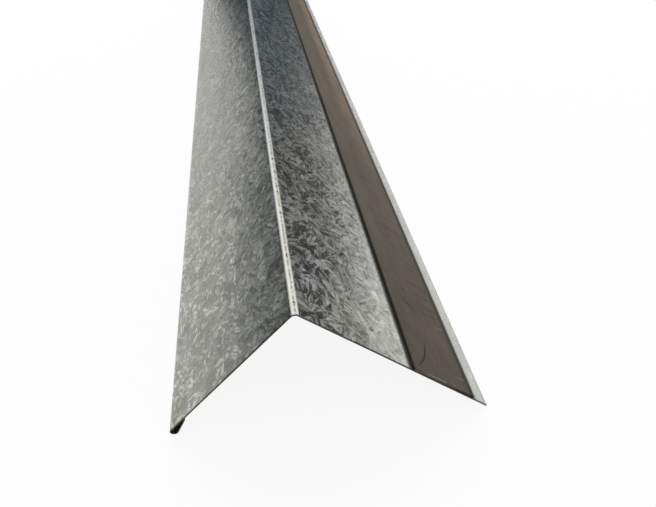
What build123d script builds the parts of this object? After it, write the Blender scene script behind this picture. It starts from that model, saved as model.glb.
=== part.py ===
# Ridge flashing: one galvanised sheet folded over a ridge, with a hemmed edge and a sealing strip.
# Millimetres. +Y runs along the length, +Z is up. The origin is at the bottom centre.
# The drip leg and its hem are on the -X side, the roof leg and the strip on the +X side.

import os
from math import asin, atan2, cos, degrees, hypot, radians, sin, sqrt, tan

from build123d import *

os.makedirs("parts", exist_ok=True)

# Sheet
length = 1000.0
sheet_thickness = 0.7
fold_angle = 90.0  # inside angle between the two legs
ridge_inside_radius = 2.2
drip_leg = 100.0  # outside, from the sharp ridge corner to the end of the hem
roof_leg = 137.0  # outside, from the sharp ridge corner to the raw edge

# Hem, rolled under the edge of the drip leg like a drop
hem_depth = 13.0
hem_inside_radius = 1.5
hem_mouth_gap = 0.25

# Sealing strip on top of the roof leg
strip_width = 48.0
strip_thickness = 1.5
strip_margin = 13.0  # bare sheet between the strip and the raw edge
strip_edge_radius = 0.4

# The section is drawn with the sharp inner ridge corner at zero and the roof leg along +X.
corner_setback = sheet_thickness / tan(radians(fold_angle / 2))
inner_roof_leg = roof_leg - corner_setback
hem_outside_radius = hem_inside_radius + sheet_thickness
hem_center_reach = drip_leg - corner_setback - hem_outside_radius

along_drip = Vector(cos(radians(fold_angle)), -sin(radians(fold_angle)))
under_drip = Vector(sin(radians(fold_angle)), cos(radians(fold_angle)))
roof_edge = Vector(inner_roof_leg, 0)
ridge_corner = Vector(0, 0)
hem_start = along_drip * hem_center_reach
hem_center = hem_start + under_drip * hem_inside_radius

# The flap leaves the hem's round as a tangent and almost closes on the leg.
flap_run = hem_depth - hem_outside_radius
flap_rise = hem_inside_radius - hem_mouth_gap
flap_slope = degrees(atan2(flap_rise, flap_run) + asin(hem_inside_radius / hypot(flap_run, flap_rise)))
flap_length = sqrt(flap_run**2 + flap_rise**2 - hem_inside_radius**2)

# The flashing stands on the hem and on the raw edge, so the section leans until both are level.
base = hem_center - roof_edge
lean = degrees(atan2(-base.Y, -base.X) + asin(hem_outside_radius / base.length))


def leaned(point):
    """A point of the section after the lean, with the ridge corner still at zero."""
    return point.rotate(Axis.Z, -lean)


raw_edge_top = leaned(roof_edge + Vector(0, sheet_thickness))
left_side = leaned(hem_center).X - hem_outside_radius
middle = (left_side + raw_edge_top.X) / 2
floor = leaned(roof_edge).Y

section_plane = Plane(
    origin=(-middle, 0, -floor),
    x_dir=(cos(radians(lean)), 0, -sin(radians(lean))),
    z_dir=(0, -1, 0),
)

# The sheet: both legs, the rounded ridge and the hem, drawn as its underside and thickened outwards
with BuildPart() as bent_sheet:
    with BuildSketch(section_plane):
        with BuildLine():
            FilletPolyline(roof_edge, ridge_corner, hem_start, radius=ridge_inside_radius)
            offset(amount=sheet_thickness, side=Side.RIGHT)
        make_face()
        with BuildLine():
            hem = JernArc(hem_start, along_drip, hem_inside_radius, 180 + flap_slope)
            Line(hem @ 1, hem @ 1 + (hem % 1) * flap_length)
            offset(amount=sheet_thickness, side=Side.RIGHT)
        make_face()
    extrude(amount=length / 2, both=True)
bent_sheet.part.label = "bent_sheet"
export_step(bent_sheet.part, "parts/bent_sheet.step")

# The strip: a flat band bonded on the roof leg, its two upper edges a little rounded
strip_outer_side = inner_roof_leg - strip_margin
with BuildPart() as sealing_strip:
    with BuildSketch(section_plane):
        with Locations((strip_outer_side, sheet_thickness)):
            strip = Rectangle(strip_width, strip_thickness, align=(Align.MAX, Align.MIN))
        fillet(strip.vertices().group_by(Axis.Y)[-1], radius=strip_edge_radius)
    extrude(amount=length / 2, both=True)
sealing_strip.part.label = "sealing_strip"
export_step(sealing_strip.part, "parts/sealing_strip.step")
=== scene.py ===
import math

import bpy
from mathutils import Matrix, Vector, noise


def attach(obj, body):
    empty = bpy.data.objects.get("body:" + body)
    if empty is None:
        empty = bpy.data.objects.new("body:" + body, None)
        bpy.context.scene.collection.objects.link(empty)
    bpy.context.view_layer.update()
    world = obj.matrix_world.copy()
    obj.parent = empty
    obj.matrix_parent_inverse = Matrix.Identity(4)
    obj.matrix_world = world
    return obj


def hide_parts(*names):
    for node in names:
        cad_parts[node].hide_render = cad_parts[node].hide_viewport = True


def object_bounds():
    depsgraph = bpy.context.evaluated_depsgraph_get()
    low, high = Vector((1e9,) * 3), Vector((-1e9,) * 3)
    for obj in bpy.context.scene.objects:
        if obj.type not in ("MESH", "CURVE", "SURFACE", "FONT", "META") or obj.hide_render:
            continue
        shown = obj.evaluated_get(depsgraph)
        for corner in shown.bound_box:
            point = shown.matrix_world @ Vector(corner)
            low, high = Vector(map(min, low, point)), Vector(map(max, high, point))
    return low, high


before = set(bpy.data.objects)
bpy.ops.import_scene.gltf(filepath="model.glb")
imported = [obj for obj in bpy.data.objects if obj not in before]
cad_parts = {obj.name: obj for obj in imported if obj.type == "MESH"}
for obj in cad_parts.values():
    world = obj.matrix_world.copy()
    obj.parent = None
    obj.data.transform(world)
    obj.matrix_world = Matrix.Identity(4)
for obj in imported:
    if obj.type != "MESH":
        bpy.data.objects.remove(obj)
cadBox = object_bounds()
print("frame loaded")


# Camera at the photograph's viewing angle
cameraValues = {
    "place": (-0.04851, -0.65550, 0.24460),  # metres
    "turn": (50.512, -4.578, -8.847),  # degrees
    "lens": 29.336,  # mm
    "sensor": 36,  # mm
    "nearest": 0.01,  # metres, what is closer isn't seen
}


def makeCamera(values):
    data = bpy.data.cameras.new("camera")
    data.lens = values["lens"]
    data.sensor_width = values["sensor"]
    data.sensor_fit = "HORIZONTAL"
    data.clip_start = values["nearest"]
    camera = bpy.data.objects.new("camera", data)
    camera.location = values["place"]
    camera.rotation_euler = [math.radians(angle) for angle in values["turn"]]
    bpy.context.scene.collection.objects.link(camera)
    bpy.context.scene.camera = camera


makeCamera(cameraValues)
bpy.context.scene.view_settings.view_transform = "Standard"
print("camera set")


# Short ways to place and link shader nodes
def setInput(tree, node, name, value):
    socket = node.inputs[name]
    if isinstance(value, bpy.types.NodeSocket):
        tree.links.new(value, socket)
    else:
        socket.default_value = value


def addNode(tree, kind, inputs=None, **settings):
    node = tree.nodes.new(kind)
    for name, value in settings.items():
        setattr(node, name, value)
    for name, value in (inputs or {}).items():
        setInput(tree, node, name, value)
    return node


def calc(tree, operation, first, second=0.0, clamp=False):
    node = addNode(tree, "ShaderNodeMath", {0: first, 1: second}, operation=operation, use_clamp=clamp)
    return node.outputs[0]


# One calculation over several values in turn
def calcAll(tree, operation, values):
    result = values[0]
    for value in values[1:]:
        result = calc(tree, operation, result, value)
    return result


def product(tree, *factors):
    return calcAll(tree, "MULTIPLY", factors)


def strongest(tree, *masks):
    return calcAll(tree, "MAXIMUM", masks)


def distanceFrom(tree, value, middle):
    return calc(tree, "ABSOLUTE", calc(tree, "SUBTRACT", value, middle))


def vectorCalc(tree, operation, first, second=(0, 0, 0), scale=1.0):
    node = addNode(tree, "ShaderNodeVectorMath", {0: first, 1: second}, operation=operation)
    if operation == "SCALE":
        setInput(tree, node, "Scale", scale)
    return node.outputs[0]


# A length, distance or dot product
def vectorMeasure(tree, operation, first, second=(0, 0, 0)):
    node = addNode(tree, "ShaderNodeVectorMath", {0: first, 1: second}, operation=operation)
    return node.outputs["Value"]


def splitParts(tree, place):
    return addNode(tree, "ShaderNodeSeparateXYZ", {0: place}).outputs


def joinParts(tree, across, along):
    return addNode(tree, "ShaderNodeCombineXYZ", {0: across, 1: along}).outputs[0]


def turnAbout(tree, place, center, angle):
    inputs = {"Vector": place, "Center": center, "Angle": angle}
    return addNode(tree, "ShaderNodeVectorRotate", inputs, rotation_type="Z_AXIS").outputs[0]


def spread(tree, value, fromLow, fromHigh, toLow=0.0, toHigh=1.0, smooth=False):
    kind = "SMOOTHSTEP" if smooth else "LINEAR"
    inputs = {0: value, 1: fromLow, 2: fromHigh, 3: toLow, 4: toHigh}
    return addNode(tree, "ShaderNodeMapRange", inputs, interpolation_type=kind).outputs[0]


# From the first value to the second while a share goes from 0 to 1
def blend(tree, share, first, second):
    return spread(tree, share, 0, 1, first, second)


# 1 after a rise of the value and before its fall
def window(tree, value, rise, fall):
    return product(tree, spread(tree, value, *rise), spread(tree, value, *fall))


def mixColors(tree, factor, first, second, kind="MIX"):
    node = addNode(tree, "ShaderNodeMix", data_type="RGBA", blend_type=kind)
    setInput(tree, node, 0, factor)
    setInput(tree, node, 6, first)
    setInput(tree, node, 7, second)
    return node.outputs[2]


def tinted(tree, mask, color, tint):
    return mixColors(tree, mask, color, mixColors(tree, 1.0, color, tint, "MULTIPLY"))


def shaded(tree, color, shade):
    grey = addNode(tree, "ShaderNodeCombineColor", {0: shade, 1: shade, 2: shade}).outputs[0]
    return mixColors(tree, 1.0, color, grey, "MULTIPLY")


def cloudNoise(tree, place, size, detail=2.0, roughness=0.5):
    scale = calc(tree, "DIVIDE", 1.0, size)
    inputs = {"Vector": place, "Scale": scale, "Detail": detail, "Roughness": roughness}
    return addNode(tree, "ShaderNodeTexNoise", inputs, noise_dimensions="2D").outputs


# Clouds whose levels are spread over two shades
def clouds(tree, place, size, levels, shades=(0.0, 1.0), detail=2.0, smooth=False):
    cloud = cloudNoise(tree, place, size, detail)[0]
    return spread(tree, cloud, *levels, *shades, smooth=smooth)


# Thin winding lines, where a noise crosses its middle
def windingLines(tree, place, size, halfWidth, detail=1.5):
    cloud = cloudNoise(tree, place, size, detail)[0]
    return spread(tree, distanceFrom(tree, cloud, 0.5), halfWidth, 0, smooth=True)


# A short straight mark on a flat map, 1 on its line and 0 away from it
def strokeMask(tree, place, mark):
    (across, along), angle, length, width = mark
    parts = splitParts(tree, turnAbout(tree, place, (across, along, 0), -math.radians(angle)))
    off = distanceFrom(tree, parts[1], along)
    reach = distanceFrom(tree, parts[0], across)
    inWidth = spread(tree, off, width / 2, 0, smooth=True)
    inLength = spread(tree, reach, length / 2, length / 2 - width, smooth=True)
    return product(tree, inWidth, inLength)


def strokes(tree, place, marks):
    return strongest(tree, *[strokeMask(tree, place, mark) for mark in marks])


# A piece's own flat map in metres, across it and along it from the near end.
# On the sheet, across counts from the ridge, with the drip leg below zero.
class FlatMap:
    def __init__(self, tree, name):
        self.whole = addNode(tree, "ShaderNodeUVMap", uv_map=name).outputs[0]
        parts = splitParts(tree, self.whole)
        self.across = parts[0]
        self.fromNear = calc(tree, "SUBTRACT", parts[1], cadBox[0][1])
        self.place = joinParts(tree, self.across, self.fromNear)


def startGroup(name, inputs, outputs):
    tree = bpy.data.node_groups.new(name, "ShaderNodeTree")
    for label, kind, value in inputs:
        socket = tree.interface.new_socket(label, in_out="INPUT", socket_type=kind)
        if value is not None:
            socket.default_value = value
    for label, kind in outputs:
        tree.interface.new_socket(label, in_out="OUTPUT", socket_type=kind)
    return tree, tree.nodes.new("NodeGroupInput").outputs, tree.nodes.new("NodeGroupOutput")


def startMaterial(name, emptied=False):
    material = bpy.data.materials.new(name)
    material.use_nodes = True
    if emptied:
        material.node_tree.nodes.clear()
    return material, material.node_tree


# Folded sheet: the same section as the CAD model, drawn along its underside
sheetValues = {
    "thickness": 0.0007,
    "foldAngle": 90.0,
    "ridgeRadius": 0.0022,
    "dripLeg": 0.100,
    "roofLeg": 0.137,
    "hemDepth": 0.013,
    "hemRadius": 0.0015,
    "hemMouth": 0.00025,
    "edgeBevel": 0.00008,
    "legStep": 0.006,  # mesh width on the flat legs
    "flapStep": 0.0025,  # the same on the hem's flap
    "lengthStep": 0.008,  # and along the sheet
    "ridgeSteps": 12,
    "hemSteps": 22,
    "waveHeight": 0.00018,
    "waveLengths": (0.07, 0.12),  # down the legs and along the sheet
    "waveSeed": 4.1,
    "waveCalm": 0.006,  # no waves this close to the ridge
    "waveRise": 0.03,  # full waves this much further on, and as far from the free edges
    "undersideShift": 0.5,  # moves the underside to its own place on the map
    "stripMargin": 0.013,  # bare sheet between the sealing strip and the raw edge
    "stripWidth": 0.048,
}


class Section:
    def __init__(self, values):
        half = math.radians(values["foldAngle"] / 2)
        whole = 2 * half
        thickness, hemRadius = values["thickness"], values["hemRadius"]
        setback = thickness / math.tan(half)
        hemOutside = hemRadius + thickness
        self.ridgeReach = values["ridgeRadius"] / math.tan(half)
        self.foldMiddle = self.ridgeReach - values["ridgeRadius"] * (math.pi - whole) / 2
        self.roofReach = values["roofLeg"] - setback
        self.stripWidth = values["stripWidth"]
        self.stripStart = self.roofReach - values["stripMargin"] - self.stripWidth
        self.hemReach = values["dripLeg"] - setback - hemOutside
        self.alongDrip = Vector((math.cos(whole), -math.sin(whole)))
        self.underDrip = Vector((math.sin(whole), math.cos(whole)))
        self.hemCenter = self.alongDrip * self.hemReach + self.underDrip * hemRadius
        run = values["hemDepth"] - hemOutside
        rise = hemRadius - values["hemMouth"]
        self.flapSlope = math.atan2(rise, run) + math.asin(hemRadius / math.hypot(run, rise))
        self.flapLength = math.sqrt(run**2 + rise**2 - hemRadius**2)
        # lean until the hem and the raw edge stand on one level
        base = self.hemCenter - Vector((self.roofReach, 0))
        self.lean = math.atan2(-base.y, -base.x) + math.asin(hemOutside / base.length)
        low = cadBox[0]
        self.left = low[0] + hemOutside - self.turned(self.hemCenter).x
        self.floor = low[2] - self.turned(Vector((self.roofReach, 0))).y

    def turned(self, point):
        cosine, sine = math.cos(self.lean), math.sin(self.lean)
        return Vector((point.x * cosine + point.y * sine, point.y * cosine - point.x * sine))

    # A point of the section and a place along the length, in the row's frame
    def place(self, point, y):
        flat = self.turned(point)
        return Vector((flat.x + self.left, y, flat.y + self.floor))


section = Section(sheetValues)


# Feathery zinc crystals: small grains turned at random, each with a few curled leaves, some of them frosty
spangleValues = {
    "pull": 0.25,  # how far the grains turn towards the favoured direction
    "leafBreadths": (0.7, 1.7),  # from the grain with the narrowest leaves to that with the broadest
    "frostClouds": {"size": 0.018, "levels": (0.2, 0.8), "shades": (-0.08, 0.08)},
    "frostLevels": (0.22, 1.12),
    "leafSides": (0.7, 0.15),  # a leaf fades between these distances from its heart
    "sideFrost": 0.35,
    "tipFrost": (0.7, 1.2),  # at the two tips of a leaf
    "needleFineness": 1.4,  # the needles' grains are smaller than the leaves' by this factor
    "needleSlimness": 1.25,
    "needleScale": 0.62,  # below 1 the needles are longer than the leaves
    "needleSides": (0.6, 0.2),
    "needleLevels": (0.38, 0.72),
    "needleShare": 0.35,  # how far frosty grains have more needles
    "veinHalfWidth": 0.065,  # in levels of the noise that the veins follow
    "veinBreaks": (0.1, 0.7, 0.3, 1.0),  # from these leaf levels to these strengths
}


# Cells of crystal, and three values of each cell's own
def crystalCells(tree, place, scale=1.0):
    inputs = {"Vector": place, "Scale": scale}
    cells = addNode(tree, "ShaderNodeTexVoronoi", inputs, voronoi_dimensions="2D").outputs
    return cells, addNode(tree, "ShaderNodeSeparateColor", {0: cells["Color"]}).outputs


# Grains with their own turn at random, a few more of them lying in one direction
def turnedGrains(tree, place, given, fineness, pull):
    grains, own = crystalCells(tree, place, calc(tree, "DIVIDE", fineness, given["Grain Size"]))
    turn = product(tree, own[0], 2 * math.pi)
    fromDirection = product(tree, calc(tree, "SUBTRACT", turn, given["Direction"]), 2.0)
    turn = calc(tree, "SUBTRACT", turn, product(tree, calc(tree, "SINE", fromDirection), pull))
    return turnAbout(tree, place, grains["Position"], turn), own


# Each leaf's own lean, along the length and across it
def leanedNormal(tree, leafOwn, lean):
    across = product(tree, calc(tree, "SUBTRACT", leafOwn[0], 0.5), lean)
    along = product(tree, calc(tree, "SUBTRACT", leafOwn[1], 0.5), lean)
    surface = addNode(tree, "ShaderNodeNewGeometry").outputs["Normal"]
    lengthwise = joinParts(tree, 0.0, 1.0)
    crosswise = vectorCalc(tree, "CROSS_PRODUCT", surface, lengthwise)
    leaned = vectorCalc(tree, "ADD", surface, vectorCalc(tree, "SCALE", lengthwise, scale=along))
    leaned = vectorCalc(tree, "ADD", leaned, vectorCalc(tree, "SCALE", crosswise, scale=across))
    return vectorCalc(tree, "NORMALIZE", leaned)


def makeSpangleGroup(values):
    number, vector = "NodeSocketFloat", "NodeSocketVector"
    tree, given, result = startGroup(
        "zincSpangle",
        [
            ("Map", vector, None),
            ("Grain Size", number, 0.005),
            ("Leaf Length", number, 0.004),
            ("Leaf Width", number, 0.001),
            ("Curl", number, 0.001),
            ("Curl Size", number, 0.005),
            ("Vein Size", number, 0.006),
            ("Vein Share", number, 0.4),
            ("Lean", number, 0.1),
            ("Grain Share", number, 0.6),
            ("Direction", number, 0.0),
        ],
        [("Frost", number), ("Needles", number), ("Grain Tone", number), ("Normal", vector)],
    )
    curlNoise = cloudNoise(tree, given["Map"], given["Curl Size"])["Color"]
    centered = vectorCalc(tree, "SUBTRACT", curlNoise, (0.5, 0.5, 0.5))
    curled = vectorCalc(tree, "ADD", given["Map"], vectorCalc(tree, "SCALE", centered, scale=given["Curl"]))
    turned, grainOwn = turnedGrains(tree, curled, given, 1.0, values["pull"])
    # some grains have broader leaves than others
    breadth = product(tree, given["Leaf Width"], blend(tree, grainOwn[2], *values["leafBreadths"]))
    perLength = calc(tree, "DIVIDE", 1.0, given["Leaf Length"])
    stretch = joinParts(tree, perLength, calc(tree, "DIVIDE", 1.0, breadth))
    leafPlace = vectorCalc(tree, "MULTIPLY", turned, stretch)
    leaf, leafOwn = crystalCells(tree, leafPlace)
    # grains differ in how many of their leaves are frosty, and a leaf fades to its sides
    share = product(tree, calc(tree, "SUBTRACT", grainOwn[1], 0.5), given["Grain Share"])
    level = calcAll(tree, "ADD", [leafOwn[2], share, clouds(tree, given["Map"], **values["frostClouds"])])
    fromSides = spread(tree, leaf["Distance"], *values["leafSides"], values["sideFrost"], 1.0, smooth=True)
    fromHeart = vectorCalc(tree, "SUBTRACT", leafPlace, leaf["Position"])
    toTip = spread(tree, splitParts(tree, fromHeart)[0], -0.5, 0.5, *values["tipFrost"])
    frost = product(tree, spread(tree, level, *values["frostLevels"]), fromSides, toTip)
    # needles lie over the leaves, in smaller grains of their own
    crossed = turnedGrains(tree, curled, given, values["needleFineness"], values["pull"])[0]
    slimmed = vectorCalc(tree, "MULTIPLY", crossed, stretch)
    slimmed = vectorCalc(tree, "MULTIPLY", slimmed, (1, values["needleSlimness"], 1))
    needle, needleOwn = crystalCells(tree, slimmed, values["needleScale"])
    needleBody = spread(tree, needle["Distance"], *values["needleSides"], smooth=True)
    needleLevel = calc(tree, "ADD", needleOwn[0], product(tree, share, values["needleShare"]))
    needles = product(tree, spread(tree, needleLevel, *values["needleLevels"]), needleBody)
    # thin frosty veins wind over the grains and break at the leaves
    vein = windingLines(tree, curled, given["Vein Size"], values["veinHalfWidth"])
    vein = product(tree, vein, given["Vein Share"], spread(tree, leafOwn[0], *values["veinBreaks"]))
    setInput(tree, result, "Frost", calc(tree, "ADD", frost, vein, clamp=True))
    setInput(tree, result, "Needles", needles)
    setInput(tree, result, "Grain Tone", grainOwn[1])
    setInput(tree, result, "Normal", leanedNormal(tree, leafOwn, given["Lean"]))
    return tree


zincSpangle = makeSpangleGroup(spangleValues)

# Where two values stand together, the first is for the drip leg and the second for the roof leg,
# or a change starts at the first and ends at the second. Clouds turn their levels into shades.
zincValues = {
    "ground": (0.33, 0.34, 0.327, 1),
    "frosty": (0.60, 0.605, 0.58, 1),
    "frostPower": 1.35,  # above 1 keeps faint frost out of the colour
    "groundRoughness": 0.16,
    "frostRoughness": 0.29,
    "dullLevels": (0.02, 0.42),  # of the frost, from bright to dull
    "grainSize": 0.0075,
    "leafLength": 0.0078,
    "leafWidth": 0.0015,
    "curl": 0.0026,
    "curlSize": 0.006,
    "veinSize": 0.008,
    "veinShare": 0.42,
    "lean": 0.04,
    "grainShare": 0.38,
    "direction": (54.0, 130.0),  # favoured by the leaves of each leg, degrees
    "grainTones": (0.92, 1.08),  # darkest and lightest of the grains
    "breath": {"size": 0.018, "levels": (0.35, 0.65), "shades": (0.92, 1.08)},  # faint clouding
    "needle": (0.82, 0.82, 0.775, 1),
    "needleShare": (0.8, 0.28),
    "needleFade": (0.12, 0.40, 1.0, 0.55),  # from 1.0 to 0.55 of the needles, along the sheet
    "legChange": 0.001,  # half width of the change from one leg's values to the other's
    "scuffs": [  # faint handling marks: (down, from the near end), angle, length, width
        ((-0.042, 0.110), 128, 0.062, 0.013),
        ((-0.026, 0.187), 119, 0.042, 0.014),
        ((-0.028, 0.211), 127, 0.042, 0.014),
        ((-0.0255, 0.361), 128, 0.048, 0.010),
        ((-0.054, 0.448), 128, 0.070, 0.010),
        ((0.045, 0.020), 118, 0.060, 0.004),
    ],
    "scuffColor": (0.66, 0.66, 0.62, 1),
    "scuffShare": 0.7,
    "scuffFrost": 0.10,
    "scuffClouds": {"size": 0.006, "levels": (0.35, 0.6), "shades": (0.35, 1.0)},
    "crackSize": 0.0045,  # dark cracks between the crystals, on the drip leg by the fold
    "crackHalfWidth": 0.035,  # in levels of the noise that they follow
    "crackDepth": 0.5,
    "crackSpan": ((-0.036, -0.016), (0.001, -0.001)),
    "crackFade": (0.13, 0.08),  # only at the near end
    "marginColor": (0.475, 0.48, 0.46, 1),  # the spangle is fainter beyond the sealing strip
    "marginShare": 0.55,
    "marginChange": 0.002,
    "outsideOnly": (0.3, 0.2),  # the underside has its place on the map beyond these
    "stain": (0.97, 0.95, 0.90, 1),
    "stainClouds": {"size": 0.06, "levels": (0.55, 0.75), "detail": 3, "smooth": True},
    "smudge": ((-0.092, 0.007), 0.011),  # warm stain by the hem: place and radius
    "smudgeColor": (0.93, 0.90, 0.80, 1),
    "folded": (0.80, 0.79, 0.74, 1),  # rubbed bright along the fold, and partly a painted highlight
    "foldTint": (0.78, 0.70, 0.55, 1),
    "foldPatches": {"size": 0.012, "levels": (0.58, 0.75)},  # of the tint
    "foldWidths": (0.0013, 0.0016),
    "foldSoftness": (0.15, 0.3),
    "foldFlare": 0.18,  # at the near end it moves towards the roof leg by this share
    "foldFlareLength": 0.08,
    "foldChange": 0.0001,
    "foldDimming": (0, 0.2, 0.0, 0.15),  # painted shade on the roof leg's side of the fold: none at 0 m, 0.15 from 0.2 m on
    "foldMetallic": 0.75,
    # painted dark reflection along the middle of the fold
    "foldDarkReflection": (0.22, 0.215, 0.20, 1),
    "foldDarkReflectionWidth": 0.0006,
    "foldDarkReflectionShift": 0.0005,  # from the middle of the fold towards the roof leg
    "foldDarkReflectionDashes": {"size": 0.0025, "levels": (0.4, 0.6), "shades": (0.35, 1.0)},
    "foldDarkReflectionFade": (0.10, 0.35, 1.0, 0.4),  # from full at 0.10 m to 0.4 from 0.35 m on
    "pits": {"size": 0.0035, "levels": (0.62, 0.70)},
    "pitWidth": 0.4,  # they are solid over this share of the painted dark line
    "gumAndShadow": (0.065, 0.064, 0.058, 1),  # gum pressed out on both sides of the sealing strip, with a painted shadow and reflection of the strip's dark sides
    "gumAndShadowBefore": (0.0046, 0.0016),  # whole and solid width on the side of the fold
    "gumAndShadowBeyond": (0.0052, 0.0016),
    "gumAndShadowMetallic": 0.3,
    "gumAndShadowDullness": 3.0,
    # dark steel of cracks and pits, also painted as shade on the cut ends
    "darkSteelAndShade": (0.055, 0.052, 0.045, 1),
    "cutFacing": (0.75, 0.95),  # how squarely a cut face looks along the sheet
    "cutEndShadeWidths": (0.0007, 0.0014),  # painted shade as a dark rim at the cut ends, and its width beyond the sealing strip
    "cutEndShadeChange": 0.001,
}


# Ground, frost, needles and handling marks of the zinc, and how frosty it is
def coatZinc(tree, sheet, spangle, values):
    change = values["legChange"]
    uneven = clouds(tree, sheet.whole, **values["scuffClouds"])
    scuffed = product(tree, strokes(tree, sheet.place, values["scuffs"]), uneven)
    frost = calc(tree, "ADD", spangle["Frost"], product(tree, scuffed, values["scuffFrost"]), clamp=True)
    frosted = calc(tree, "POWER", frost, values["frostPower"])
    color = mixColors(tree, frosted, values["ground"], values["frosty"])
    legShare = spread(tree, sheet.across, -change, change, *values["needleShare"])
    lengthShare = spread(tree, sheet.fromNear, *values["needleFade"])
    needles = product(tree, spangle["Needles"], legShare, lengthShare)
    color = mixColors(tree, needles, color, values["needle"])
    color = mixColors(tree, product(tree, scuffed, values["scuffShare"]), color, values["scuffColor"])
    breath = clouds(tree, sheet.whole, **values["breath"])
    breath = product(tree, breath, blend(tree, spangle["Grain Tone"], *values["grainTones"]))
    return shaded(tree, color, breath), frost


def addCracks(tree, sheet, color, values):
    lines = windingLines(tree, sheet.whole, values["crackSize"], values["crackHalfWidth"])
    byFold = window(tree, sheet.across, *values["crackSpan"])
    atNear = spread(tree, sheet.fromNear, *values["crackFade"])
    cracked = product(tree, lines, values["crackDepth"], byFold, atNear)
    return mixColors(tree, cracked, color, values["darkSteelAndShade"])


def addStains(tree, sheet, color, pastStrip, values):
    inMargin = spread(tree, pastStrip, 0, values["marginChange"], 0, values["marginShare"])
    inMargin = product(tree, inMargin, spread(tree, sheet.across, *values["outsideOnly"]))
    color = mixColors(tree, inMargin, color, values["marginColor"])
    color = tinted(tree, clouds(tree, sheet.whole, **values["stainClouds"]), color, values["stain"])
    smudgePlace, smudgeRadius = values["smudge"]
    fromSmudge = vectorMeasure(tree, "DISTANCE", sheet.place, (*smudgePlace, 0))
    return tinted(tree, spread(tree, fromSmudge, smudgeRadius, 0, smooth=True), color, values["smudgeColor"])


# The fold is rubbed bright and partly painted as a highlight, with a painted dark reflection line along its
# middle and a few pits in it
def rubAndHighlightFold(tree, sheet, color, values):
    pastFold = calc(tree, "SUBTRACT", sheet.across, section.foldMiddle)
    roofSide = spread(tree, pastFold, -values["foldChange"], values["foldChange"])
    flare = blend(tree, roofSide, -values["foldFlare"], values["foldFlare"])
    flare = product(tree, flare, spread(tree, sheet.fromNear, values["foldFlareLength"], 0))
    halfFold = product(tree, blend(tree, roofSide, *values["foldWidths"]), calc(tree, "ADD", flare, 1.0))
    softness = blend(tree, roofSide, *values["foldSoftness"])
    offFold = calc(tree, "DIVIDE", calc(tree, "ABSOLUTE", pastFold), halfFold)
    onFold = calc(tree, "SUBTRACT", 1.0, offFold)
    rubbedAndHighlit = spread(tree, onFold, product(tree, softness, -1.0), softness, smooth=True)
    patches = clouds(tree, sheet.whole, **values["foldPatches"])
    # the fold's bright colour is partly a painted highlight, dimmed further on by painted shade
    foldColor = mixColors(tree, patches, values["folded"], values["foldTint"])
    dimmed = product(tree, roofSide, spread(tree, sheet.fromNear, *values["foldDimming"]))
    foldColor = shaded(tree, foldColor, calc(tree, "SUBTRACT", 1.0, dimmed))
    color = mixColors(tree, rubbedAndHighlit, color, foldColor)
    # a painted dark reflection along the fold's middle, in dashes, fading further on
    width = values["foldDarkReflectionWidth"]
    fromFoldDarkReflection = distanceFrom(tree, pastFold, values["foldDarkReflectionShift"])
    dashes = clouds(tree, sheet.whole, **values["foldDarkReflectionDashes"])
    fade = spread(tree, sheet.fromNear, *values["foldDarkReflectionFade"])
    foldDarkReflection = product(tree, spread(tree, fromFoldDarkReflection, width, 0), dashes, fade)
    color = mixColors(tree, foldDarkReflection, color, values["foldDarkReflection"])
    inPits = spread(tree, fromFoldDarkReflection, width, width * values["pitWidth"])
    pits = product(tree, clouds(tree, sheet.whole, **values["pits"]), inPits)
    return mixColors(tree, pits, color, values["darkSteelAndShade"]), rubbedAndHighlit


# Gum beside the sealing strip, with a painted shadow and reflection of the strip's dark sides
def gumAndShadowMask(tree, sheet, pastStrip, values):
    toStrip = calc(tree, "SUBTRACT", section.stripStart, sheet.across)
    before = spread(tree, toStrip, *values["gumAndShadowBefore"], smooth=True)
    beyond = spread(tree, pastStrip, *values["gumAndShadowBeyond"], smooth=True)
    return product(tree, before, beyond)


# Cut ends are painted dark as shade over their bare steel, with a painted dark rim of shade
def cutEndShadeMask(tree, sheet, surface, pastStrip, values):
    lengthwise = splitParts(tree, surface)[1]
    cutEnd = spread(tree, calc(tree, "ABSOLUTE", lengthwise), *values["cutFacing"])
    sheetLength = cadBox[1][1] - cadBox[0][1]
    fromFar = calc(tree, "SUBTRACT", sheetLength, sheet.fromNear)
    fromEnd = calc(tree, "MINIMUM", sheet.fromNear, fromFar)
    cutEndShadeWidth = spread(tree, pastStrip, 0, values["cutEndShadeChange"], *values["cutEndShadeWidths"])
    return strongest(tree, cutEnd, spread(tree, fromEnd, cutEndShadeWidth, 0))


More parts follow.
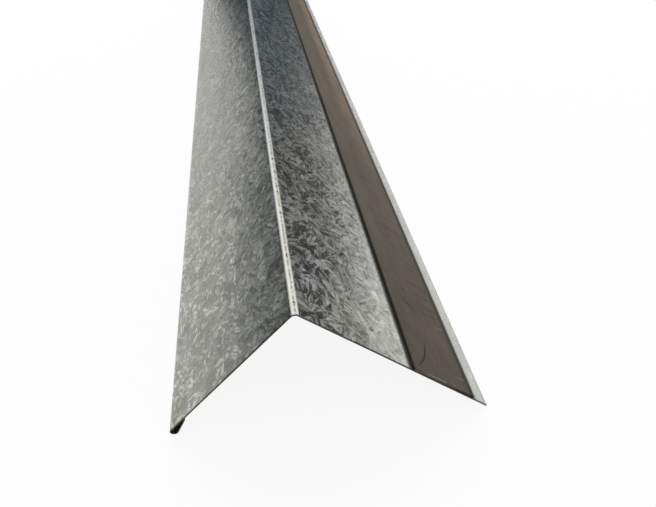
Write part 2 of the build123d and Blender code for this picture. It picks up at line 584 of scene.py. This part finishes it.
def makeZinc(values):
    material, tree = startMaterial("galvanisedZinc")
    shader = tree.nodes["Principled BSDF"]
    sheet = FlatMap(tree, "sheetMap")
    change = values["legChange"]
    directions = [math.radians(angle) for angle in values["direction"]]
    spangleInputs = {
        "Map": sheet.whole,
        "Grain Size": values["grainSize"],
        "Leaf Length": values["leafLength"],
        "Leaf Width": values["leafWidth"],
        "Curl": values["curl"],
        "Curl Size": values["curlSize"],
        "Vein Size": values["veinSize"],
        "Vein Share": values["veinShare"],
        "Lean": values["lean"],
        "Grain Share": values["grainShare"],
        "Direction": spread(tree, sheet.across, -change, change, *directions),
    }
    spangle = addNode(tree, "ShaderNodeGroup", spangleInputs, node_tree=zincSpangle).outputs
    pastStrip = calc(tree, "SUBTRACT", sheet.across, section.stripStart + section.stripWidth)
    surface = addNode(tree, "ShaderNodeNewGeometry").outputs["Normal"]
    color, frost = coatZinc(tree, sheet, spangle, values)
    color = addCracks(tree, sheet, color, values)
    color = addStains(tree, sheet, color, pastStrip, values)
    color, rubbedAndHighlit = rubAndHighlightFold(tree, sheet, color, values)
    # gum and painted shadow beside the strip, also duller and less metallic
    gumAndShadow = gumAndShadowMask(tree, sheet, pastStrip, values)
    color = mixColors(tree, gumAndShadow, color, values["gumAndShadow"])
    # painted shade on the cut ends and in a dark rim beside them
    cutEndShade = cutEndShadeMask(tree, sheet, surface, pastStrip, values)
    setInput(tree, shader, "Base Color", mixColors(tree, cutEndShade, color, values["darkSteelAndShade"]))
    gumAndShadowDull = calc(tree, "MINIMUM", product(tree, gumAndShadow, values["gumAndShadowDullness"]), 1.0)
    dull = strongest(tree, spread(tree, frost, *values["dullLevels"]), gumAndShadowDull, cutEndShade)
    rough = blend(tree, dull, values["groundRoughness"], values["frostRoughness"])
    setInput(tree, shader, "Roughness", rough)
    # the crystals' lean stops on the fold and on the gum and painted shadow beside the strip
    normal = addNode(tree, "ShaderNodeMix", data_type="VECTOR")
    setInput(tree, normal, 0, strongest(tree, rubbedAndHighlit, gumAndShadow))
    setInput(tree, normal, 4, spangle["Normal"])
    setInput(tree, normal, 5, surface)
    setInput(tree, shader, "Normal", normal.outputs[1])
    metallic = blend(tree, rubbedAndHighlit, 1.0, values["foldMetallic"])
    metallic = product(tree, metallic, blend(tree, gumAndShadow, 1.0, values["gumAndShadowMetallic"]))
    setInput(tree, shader, "Metallic", metallic)
    return material


def between(low, high, step):
    count = max(1, round(abs(high - low) / step))
    return [low + (high - low) * index / count for index in range(count + 1)]


# Even steps, with one more close to each end to keep its edge crisp
def crispBetween(low, high, step, inset=0.0006):
    inset = math.copysign(inset, high - low)
    return [low] + between(low + inset, high - inset, step) + [high]


# A bend as points on its round, each with its outward normal and its distance along the sheet
def bend(center, radius, startAngle, wholeTurn, startAlong, steps):
    stations = []
    for index in range(1, steps + 1):
        turn = wholeTurn * index / steps
        outward = Vector((math.cos(startAngle + turn), math.sin(startAngle + turn)))
        stations.append((center + outward * radius, outward, startAlong - radius * turn))
    return stations


# The underside line from the raw edge to the hem's mouth, as such stations
def sheetLine(values):
    ridgeRadius, hemRadius = values["ridgeRadius"], values["hemRadius"]
    ridgeTurn = math.pi - math.radians(values["foldAngle"])
    hemTurn = math.pi + section.flapSlope
    ridgeCenter = Vector((section.ridgeReach, -ridgeRadius))
    outsideDrip = -section.underDrip
    dripAngle = math.atan2(outsideDrip.y, outsideDrip.x)
    dripStart = section.ridgeReach - ridgeRadius * ridgeTurn
    hemStart = dripStart - (section.hemReach - section.ridgeReach)
    ridgeSteps, hemSteps = values["ridgeSteps"], values["hemSteps"]
    stations = []
    for reach in crispBetween(section.roofReach, section.ridgeReach, values["legStep"]):
        stations.append((Vector((reach, 0)), Vector((0, 1)), reach))
    stations += bend(ridgeCenter, ridgeRadius, math.pi / 2, ridgeTurn, section.ridgeReach, ridgeSteps)
    for reach in between(section.ridgeReach, section.hemReach, values["legStep"])[1:]:
        along = dripStart - (reach - section.ridgeReach)
        stations.append((section.alongDrip * reach, outsideDrip, along))
    stations += bend(section.hemCenter, hemRadius, dripAngle, hemTurn, hemStart, hemSteps)
    lastPoint, lastOutward, lastAlong = stations[-1]
    flapWay = Vector((-lastOutward.y, lastOutward.x))
    for reach in between(0, section.flapLength, values["flapStep"])[1:]:
        stations.append((lastPoint + flapWay * reach, lastOutward, lastAlong - reach))
    return stations


def smoothStep(value):
    value = min(1.0, max(0.0, value))
    return value * value * (3 - 2 * value)


# Slight unevenness of the flat legs, still at the folds and free edges
def wave(along, y, values=sheetValues):
    fromRidge = abs(along)
    reach = section.roofReach if along > 0 else section.hemReach
    rise = values["waveRise"]
    calm = smoothStep((fromRidge - values["waveCalm"]) / rise) * smoothStep((reach - fromRidge) / rise)
    downLength, alongLength = values["waveLengths"]
    height = noise.noise(Vector((along / downLength, y / alongLength, values["waveSeed"])))
    return values["waveHeight"] * calm * height


def meshFrom(name, vertices, faces):
    mesh = bpy.data.meshes.new(name)
    mesh.from_pydata(vertices, [], faces)
    mesh.validate()
    piece = bpy.data.objects.new(name, mesh)
    bpy.context.scene.collection.objects.link(piece)
    return piece


def writeMap(piece, name, mapPlaces):
    layer = piece.data.uv_layers.new(name=name)
    for corner in piece.data.loops:
        layer.data[corner.index].uv = mapPlaces[corner.vertex_index]


# Breaks the edges above one angle and smooths the faces below another, in degrees
def finishMesh(piece, bevelWidth, bevelAngle=50, smoothAngle=40):
    bevel = piece.modifiers.new("edges", "BEVEL")
    bevel.width = bevelWidth
    bevel.segments = 2
    bevel.limit_method = "ANGLE"
    bevel.angle_limit = math.radians(bevelAngle)
    graph = bpy.context.evaluated_depsgraph_get()
    mesh = bpy.data.meshes.new_from_object(piece.evaluated_get(graph))
    mesh.name = piece.name
    piece.modifiers.clear()
    piece.data = mesh
    mesh.shade_smooth()
    mesh.set_sharp_from_angle(angle=math.radians(smoothAngle))


def makeSheet(values, material):
    stations = sheetLine(values)
    lengths = crispBetween(cadBox[0][1], cadBox[1][1], values["lengthStep"])
    sides = ((values["thickness"], 0.0), (0.0, values["undersideShift"]))
    vertices, mapPlaces, faces = [], [], []
    for y in lengths:
        for thickness, shift in sides:
            for point, outward, along in stations:
                height = thickness + wave(along, y)
                vertices.append(section.place(point + outward * height, y))
                mapPlaces.append((along + shift, y))
    count = len(stations)
    ring = 2 * count
    for row in range(len(lengths) - 1):
        near, far = row * ring, (row + 1) * ring
        for index in range(count - 1):
            outer, inner = near + index, near + count + index
            farOuter, farInner = far + index, far + count + index
            faces.append((outer, farOuter, farOuter + 1, outer + 1))
            faces.append((inner, inner + 1, farInner + 1, farInner))
        # the raw edge, and the edge at the hem's mouth
        for index in (0, count - 1):
            corners = (near + index, near + count + index, far + count + index, far + index)
            faces.append(corners if index == 0 else corners[::-1])
    last = (len(lengths) - 1) * ring
    for index in range(count - 1):
        faces.append((index, index + 1, count + index + 1, count + index))
        faces.append((last + index, last + count + index, last + count + index + 1, last + index + 1))
    piece = meshFrom("foldedSheet", vertices, faces)
    writeMap(piece, "sheetMap", mapPlaces)
    finishMesh(piece, values["edgeBevel"])
    piece.data.materials.append(material)
    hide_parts("bent_sheet")
    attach(piece, "root")


makeSheet(sheetValues, makeZinc(zincValues))
print("folded sheet made")


# Sealing strip on the roof leg; its places are counted across it from the fold's side and from the near end.
# Where two values stand together, a change starts at the first and ends at the second.
# Where there are four, the last two are the shades or strengths at the start and the end.
stripValues = {
    "thickness": 0.0015,
    "edgeRadius": 0.0004,
    "edgeSteps": 4,
    "edgeBevel": 0.0002,
    "topStep": 0.003,  # mesh width on the face
    "underStep": 0.006,  # the same on the underside
    "underMap": 0.01,  # the underside lies this far beyond the face on the map
    "olive": (0.063, 0.050, 0.030, 1),
    "brown": (0.061, 0.045, 0.026, 1),
    "rust": (0.075, 0.052, 0.032, 1),
    "border": (0.007, 0.006, 0.0045, 1),
    "body": (0.002, 0.002, 0.0015, 1),
    # pale scratches, and a painted highlight on the near end's top edge
    "paleWearAndHighlight": (0.20, 0.185, 0.16, 1),
    "oliveWidth": 0.014,
    "oliveWander": 0.003,
    "borderWidth": 0.0058,
    "borderFade": 0.0032,
    "foldEdge": (-0.0011, 0.0003),  # the face starts here
    "farEdge": 0.0002,
    "roughness": 0.6,
    "sideRoughness": 0.9,
    "ior": 1.3,
    "sheen": 0.075,
    "sheenRoughness": 0.4,
    "bumpStrength": 0.4,
    "bumpDepth": 0.0001,
    "grainHeight": 0.4,
    "mottle": {"size": 0.02, "detail": 5, "roughness": 0.6},
    "mottleLevels": (0.35, 0.65),  # from brown to rust
    "grain": {"size": 0.0012, "detail": 4, "roughness": 0.7},
    "grainShades": (0.3, 0.7, 0.78, 1.22),
    "streakStretch": (1, 0.03, 1),
    "streaks": {"size": 0.0025, "levels": (0.3, 0.7), "shades": (0.91, 1.09), "detail": 3},
    "patchStretch": (1, 0.4, 1),
    "patches": {"size": 0.009, "levels": (0.3, 0.7), "shades": (0.86, 1.14), "detail": 3},
    "nearPaintedShade": (0.03, 0.16, 0.86, 1.0),  # painted shade, darker at the near end
    "farPaintedSheen": (0.20, 0.36, 1.0, 1.3),  # painted sheen, lighter further on
    "sheenBandAcross": (0.024, 0.035),  # painted sheen in a band on the side away from the fold, growing further on
    "sheenBandAlong": (0.12, 0.45),
    "sheenBandShade": 1.75,
    "dishShadeMiddle": 0.019,  # painted shade of a shallow dish along the strip
    "dishPaintedShades": (0.002, 0.008, 0.90, 1.0),
    "lineStretch": (0.06, 1, 1),
    "lines": {"size": 0.004, "levels": (0.66, 0.74), "shades": (0, 0.5), "detail": 1, "smooth": True},
    "lineSpan": ((0.013, 0.018), (0.045, 0.040)),
    "lineStart": (0.035, 0.055),
    "pressedMarks": [  # (across, from the near end), angle, length, width, as for all marks
        ((0.0306, 0.0934), 6, 0.015, 0.0018),
        ((0.0320, 0.0775), 2, 0.021, 0.0021),
        ((0.0325, 0.0685), 0, 0.018, 0.0021),
        ((0.0350, 0.0529), 3, 0.016, 0.0020),
        ((0.0115, 0.0683), 79, 0.007, 0.0026),
        ((0.0144, 0.0646), 173, 0.006, 0.0024),
        ((0.0112, 0.0575), 95, 0.007, 0.0022),
        ((0.0120, 0.0430), 15, 0.003, 0.0018),
    ],
    "pressedUneven": (0.35, 0.6, 0.45, 1.0),  # by the grain
    "pressedShade": 0.25,
    "deepMarks": [
        ((0.0120, 0.0545), 100, 0.0060, 0.0026),
        ((0.0143, 0.0529), 1, 0.0070, 0.0034),
        ((0.0168, 0.0522), 160, 0.0060, 0.0032),
    ],
    "deepShade": 0.05,
    "paleScratchesAndHighlight": [
        ((0.0413, 0.0455), 15, 0.0035, 0.0011),
        ((0.0372, 0.0445), 8, 0.0040, 0.0007),
        ((0.0390, 0.0088), 4, 0.0090, 0.0008),
        # a painted highlight along the near end's top edge, where it catches the light
        ((0.0168, 0.0005), 0, 0.0160, 0.0016),
    ],
    "paleUneven": (0.3, 0.6, 0.4, 1.0),  # by the mottling
    "scratchCenter": (-0.0198, 0.0335),  # one curved scratch, part of a ring
    "scratchRadius": 0.038,
    "scratchWidths": (0.00067, 0.0020),  # at its tips and in its middle
    "scratchSoftness": 0.5,  # share of its width that fades
    "scratchTips": ((0.003, 0.010), (0.025, 0.018)),
    "scratchEnds": ((0.0035, 0.0045), (0.0238, 0.0232)),
}


# The curved scratch by the near end, thinning to its tips
def scratchMask(tree, strip, values):
    reach = vectorMeasure(tree, "DISTANCE", strip.place, (*values["scratchCenter"], 0))
    off = distanceFrom(tree, reach, values["scratchRadius"])
    full = window(tree, strip.fromNear, *values["scratchTips"])
    halfWidth = product(tree, blend(tree, full, *values["scratchWidths"]), 0.5)
    solid = product(tree, halfWidth, 1 - values["scratchSoftness"])
    inWidth = spread(tree, off, halfWidth, solid, smooth=True)
    return product(tree, inWidth, window(tree, strip.fromNear, *values["scratchEnds"]))


# Pressed marks of the near end, with faint lines across the whole strip
def pressedMask(tree, strip, grain, values):
    linePlace = vectorCalc(tree, "MULTIPLY", strip.place, values["lineStretch"])
    lines = clouds(tree, linePlace, **values["lines"])
    inSpan = window(tree, strip.across, *values["lineSpan"])
    faint = product(tree, lines, inSpan, spread(tree, strip.fromNear, *values["lineStart"]))
    uneven = spread(tree, grain, *values["pressedUneven"])
    return strongest(tree, product(tree, strokes(tree, strip.place, values["pressedMarks"]), uneven), faint)


# How light the face is, from its grain, streaks and patches, with painted shade at the near end and along a
# dish, and painted sheen further on
def faceShade(tree, strip, grain, values):
    streakPlace = vectorCalc(tree, "MULTIPLY", strip.place, values["streakStretch"])
    patchPlace = vectorCalc(tree, "MULTIPLY", strip.place, values["patchStretch"])
    sheenBandAcross = spread(tree, strip.across, *values["sheenBandAcross"], smooth=True)
    sheenBand = product(tree, sheenBandAcross, spread(tree, strip.fromNear, *values["sheenBandAlong"]))
    fromDishShade = distanceFrom(tree, strip.across, values["dishShadeMiddle"])
    return product(
        tree,
        spread(tree, grain, *values["grainShades"]),
        clouds(tree, streakPlace, **values["streaks"]),
        clouds(tree, patchPlace, **values["patches"]),
        # painted shade at the near end and along a dish, painted sheen further on and in a band
        spread(tree, strip.fromNear, *values["nearPaintedShade"], smooth=True),
        blend(tree, sheenBand, 1.0, values["sheenBandShade"]),
        spread(tree, strip.fromNear, *values["farPaintedSheen"]),
        spread(tree, fromDishShade, *values["dishPaintedShades"], smooth=True),
    )


def makeRubber(values):
    material, tree = startMaterial("sealingRubber")
    shader = tree.nodes["Principled BSDF"]
    strip = FlatMap(tree, "stripMap")
    # mottled brown, olive on the side by the fold
    mottle = cloudNoise(tree, strip.place, **values["mottle"])[0]
    color = mixColors(tree, spread(tree, mottle, *values["mottleLevels"]), values["brown"], values["rust"])
    wander, oliveEnd = values["oliveWander"], values["oliveWidth"]
    wandering = calc(tree, "ADD", strip.across, product(tree, mottle, wander))
    olive = spread(tree, wandering, oliveEnd + wander, oliveEnd, smooth=True)
    color = mixColors(tree, olive, color, values["olive"])
    grain = cloudNoise(tree, strip.place, **values["grain"])[0]
    pressed = pressedMask(tree, strip, grain, values)
    deep = strongest(tree, scratchMask(tree, strip, values), strokes(tree, strip.place, values["deepMarks"]))
    shade = product(
        tree,
        faceShade(tree, strip, grain, values),
        blend(tree, pressed, 1.0, values["pressedShade"]),
        blend(tree, deep, 1.0, values["deepShade"]),
    )
    color = shaded(tree, color, shade)
    # pale scratches, and a painted highlight along the near end's top edge
    pale = strokes(tree, strip.place, values["paleScratchesAndHighlight"])
    pale = product(tree, pale, spread(tree, mottle, *values["paleUneven"]))
    color = mixColors(tree, pale, color, values["paleWearAndHighlight"])
    # the side away from the fold shows a darker border, and the sides are black
    width = section.stripWidth
    borderStart = width - values["borderWidth"]
    bordered = spread(tree, strip.across, borderStart, borderStart + values["borderFade"], smooth=True)
    color = mixColors(tree, bordered, color, values["border"])
    onTop = window(tree, strip.across, values["foldEdge"], (width + values["farEdge"], width))
    setInput(tree, shader, "Base Color", mixColors(tree, onTop, values["body"], color))
    setInput(tree, shader, "Roughness", blend(tree, onTop, values["sideRoughness"], values["roughness"]))
    marked = strongest(tree, pressed, deep)
    height = calc(tree, "SUBTRACT", product(tree, grain, values["grainHeight"]), marked)
    bumpInputs = {"Height": height, "Strength": values["bumpStrength"], "Distance": values["bumpDepth"]}
    setInput(tree, shader, "Normal", addNode(tree, "ShaderNodeBump", bumpInputs).outputs[0])
    shader.inputs["IOR"].default_value = values["ior"]
    shader.inputs["Sheen Weight"].default_value = values["sheen"]
    shader.inputs["Sheen Roughness"].default_value = values["sheenRoughness"]
    return material


# The strip's outline as (across, height, place on the map), up its side by the fold and once round
def stripOutline(values):
    width, thickness, radius = section.stripWidth, values["thickness"], values["edgeRadius"]
    rounded = []
    for index in range(values["edgeSteps"] + 1):
        turn = math.pi / 2 * index / values["edgeSteps"]
        rounded.append((radius * (1 - math.cos(turn)), radius * (1 - math.sin(turn))))
    outline = [(0.0, 0.0, -thickness)]
    outline += [(inward, thickness - drop, inward / 2) for inward, drop in rounded]
    for across in crispBetween(radius, width - radius, values["topStep"])[1:-1]:
        outline.append((across, thickness, across))
    outline += [(width - inward, thickness - drop, width) for inward, drop in reversed(rounded)]
    outline.append((width, 0.0, width + thickness))
    for across in between(width, 0, values["underStep"])[1:-1]:
        outline.append((across, 0.0, width + values["underMap"]))
    return outline


def makeStrip(values, material):
    outline = stripOutline(values)
    lengths = crispBetween(cadBox[0][1], cadBox[1][1], sheetValues["lengthStep"])
    vertices, mapPlaces, faces = [], [], []
    for y in lengths:
        for across, height, mapAcross in outline:
            along = section.stripStart + across
            lift = sheetValues["thickness"] + wave(along, y)
            vertices.append(section.place(Vector((along, height + lift)), y))
            mapPlaces.append((mapAcross, y))
    count = len(outline)
    for row in range(len(lengths) - 1):
        near, far = row * count, (row + 1) * count
        for index in range(count):
            following = (index + 1) % count
            faces.append((near + index, near + following, far + following, far + index))
    last = (len(lengths) - 1) * count
    faces.append(list(reversed(range(count))))
    faces.append(list(range(last, last + count)))
    piece = meshFrom("sealingStrip", vertices, faces)
    writeMap(piece, "stripMap", mapPlaces)
    finishMesh(piece, values["edgeBevel"])
    piece.data.materials.append(material)
    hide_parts("sealing_strip")
    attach(piece, "root")


makeStrip(stripValues, makeRubber(stripValues))
print("sealing strip made")


# Floor, backdrop and light
studioValues = {
    "floorSize": 12.0,
    "floorDrop": 0.0002,  # how far it lies below the sheet
    "floorGlow": 0.88,  # share of plain white in the floor as the camera sees it
    "glowFrom": 0.9,  # metres from the middle where the floor starts to turn plain white
    "glowTo": 3.0,
    "floorColor": (0.93, 0.93, 0.93, 1),
    "white": (1, 1, 1, 1),
    "worldLevel": 0.75,
    "lampPlace": (0.0, 2.0, 2.2),
    "lampSize": 2.6,
    "lampPower": 38.0,
}

# Cards round the sheet, seen only in its reflections, to shape the metal. Each is a flat rectangle
# from its low to its high corner, with two tones that blend along a direction, from one distance to another.
cardValues = {
    "leftTable": {
        "low": (-0.60, -1.3, 0.0005),
        "high": (-0.09, 2.0, 0.0005),
        "blend": ((1, 0.14, 0), -0.345, -0.19),
        "tones": ((0.19, 0.20, 0.20, 1), (0.74, 0.74, 0.71, 1)),
    },
    "leftCard": {
        "low": (-0.60, -1.3, -0.001),
        "high": (-0.60, 0.60, 0.75),
        "blend": ((0, 0, 1), 0.35, 0.75),
        "tones": ((0.12, 0.13, 0.13, 1), (0.5, 0.5, 0.5, 1)),
    },
    "farLeftCard": {
        "low": (-0.60, 0.60, -0.001),
        "high": (0.0, 0.60, 0.70),
        "blend": ((0, 0, 1), 0.11, 0.66),
        "tones": ((0.046, 0.058, 0.068, 1), (0.91, 0.97, 1.02, 1)),
    },
    "farMiddleCard": {
        "low": (0.0, 0.60, -0.001),
        "high": (0.47, 0.60, 0.70),
        "blend": ((-0.25, 0, 1), 0.0, 0.54),
        "tones": ((0.044, 0.058, 0.072, 1), (0.90, 0.97, 1.04, 1)),
    },
    "farRightCard": {
        "low": (0.47, 0.60, -0.001),
        "high": (0.95, 0.60, 0.70),
        "blend": ((-0.2, 0, 1), 0.03, 0.58),
        "tones": ((0.056, 0.056, 0.052, 1), (0.98, 0.97, 0.94, 1)),
    },
    "rightCard": {
        "low": (2.2, -1.5, -0.001),
        "high": (2.2, 2.0, 0.70),
        "blend": ((0, 0, 1), 0.105, 0.0),
        "tones": ((0.040, 0.042, 0.040, 1), (1.45, 1.45, 1.4, 1)),
    },
    "rightTable": {
        "low": (0.092, -1.5, 0.0005),
        "high": (2.2, 2.0, 0.0005),
        "blend": ((0, 1, 0), 0.89, -0.12),
        "tones": ((0.33, 0.34, 0.34, 1), (1.45, 1.45, 1.4, 1)),
    },
    "besideEdge": {
        "low": (0.092, -1.5, 0.001),
        "high": (0.19, 2.0, 0.001),
        "blend": ((1, -0.1, 0), 0.12, 0.19),
        "tones": ((0.98, 0.96, 0.92, 1), (1.36, 1.34, 1.28, 1)),
    },
}


# 1 for what the camera sees straight, in metal or through glass
def viewRays(tree):
    rays = addNode(tree, "ShaderNodeLightPath").outputs
    sharp = calc(tree, "ADD", rays["Is Glossy Ray"], rays["Is Transmission Ray"])
    return calc(tree, "ADD", rays["Is Camera Ray"], sharp, clamp=True)


def makeFloor(values):
    half = values["floorSize"] / 2
    corners = [(-half, -half, 0), (half, -half, 0), (half, half, 0), (-half, half, 0)]
    floor = meshFrom("floor", corners, [(0, 1, 2, 3)])
    floor.location.z = cadBox[0][2] - values["floorDrop"]
    material, tree = startMaterial("paleFloor", emptied=True)
    plain = addNode(tree, "ShaderNodeBsdfDiffuse", {"Color": values["floorColor"]}).outputs[0]
    white = addNode(tree, "ShaderNodeEmission", {"Color": values["white"], "Strength": 1.0}).outputs[0]
    position = addNode(tree, "ShaderNodeNewGeometry").outputs["Position"]
    away = vectorMeasure(tree, "LENGTH", position)
    glow = spread(tree, away, values["glowFrom"], values["glowTo"], values["floorGlow"], 1.0, smooth=True)
    share = product(tree, viewRays(tree), glow)
    mixed = addNode(tree, "ShaderNodeMixShader", {0: share, 1: plain, 2: white}).outputs[0]
    addNode(tree, "ShaderNodeOutputMaterial", {"Surface": mixed})
    floor.data.materials.append(material)


def makeWorld(values):
    world = bpy.data.worlds.new("studio")
    bpy.context.scene.world = world
    world.use_nodes = True
    tree = world.node_tree
    background = tree.nodes["Background"]
    setInput(tree, background, "Color", values["white"])
    setInput(tree, background, "Strength", blend(tree, viewRays(tree), values["worldLevel"], 1.0))


def makeLamp(values):
    data = bpy.data.lights.new("softLamp", "AREA")
    data.shape = "SQUARE"
    data.size = values["lampSize"]
    data.energy = values["lampPower"]
    lamp = bpy.data.objects.new("softLamp", data)
    lamp.location = values["lampPlace"]
    lamp.visible_glossy = False
    lamp.rotation_euler = Vector(values["lampPlace"]).to_track_quat("Z", "Y").to_euler()
    bpy.context.scene.collection.objects.link(lamp)


def makeCard(name, values):
    (left, near, bottom), (right, far, top) = values["low"], values["high"]
    if bottom == top:
        corners = [(left, near, top), (right, near, top), (right, far, top), (left, far, top)]
    else:
        corners = [(left, near, bottom), (right, far, bottom), (right, far, top), (left, near, top)]
    card = meshFrom(name, corners, [(0, 1, 2, 3)])
    material, tree = startMaterial(name, emptied=True)
    direction, start, end = values["blend"]
    position = addNode(tree, "ShaderNodeNewGeometry").outputs["Position"]
    reach = vectorMeasure(tree, "DOT_PRODUCT", position, direction)
    tone = mixColors(tree, spread(tree, reach, start, end, smooth=True), *values["tones"])
    glow = addNode(tree, "ShaderNodeEmission", {"Color": tone, "Strength": 1.0}).outputs[0]
    addNode(tree, "ShaderNodeOutputMaterial", {"Surface": glow})
    card.data.materials.append(material)
    for ray in ("camera", "diffuse", "transmission", "volume_scatter", "shadow"):
        setattr(card, "visible_" + ray, False)


makeFloor(studioValues)
makeWorld(studioValues)
makeLamp(studioValues)
for name, values in cardValues.items():
    makeCard(name, values)
print("studio made")
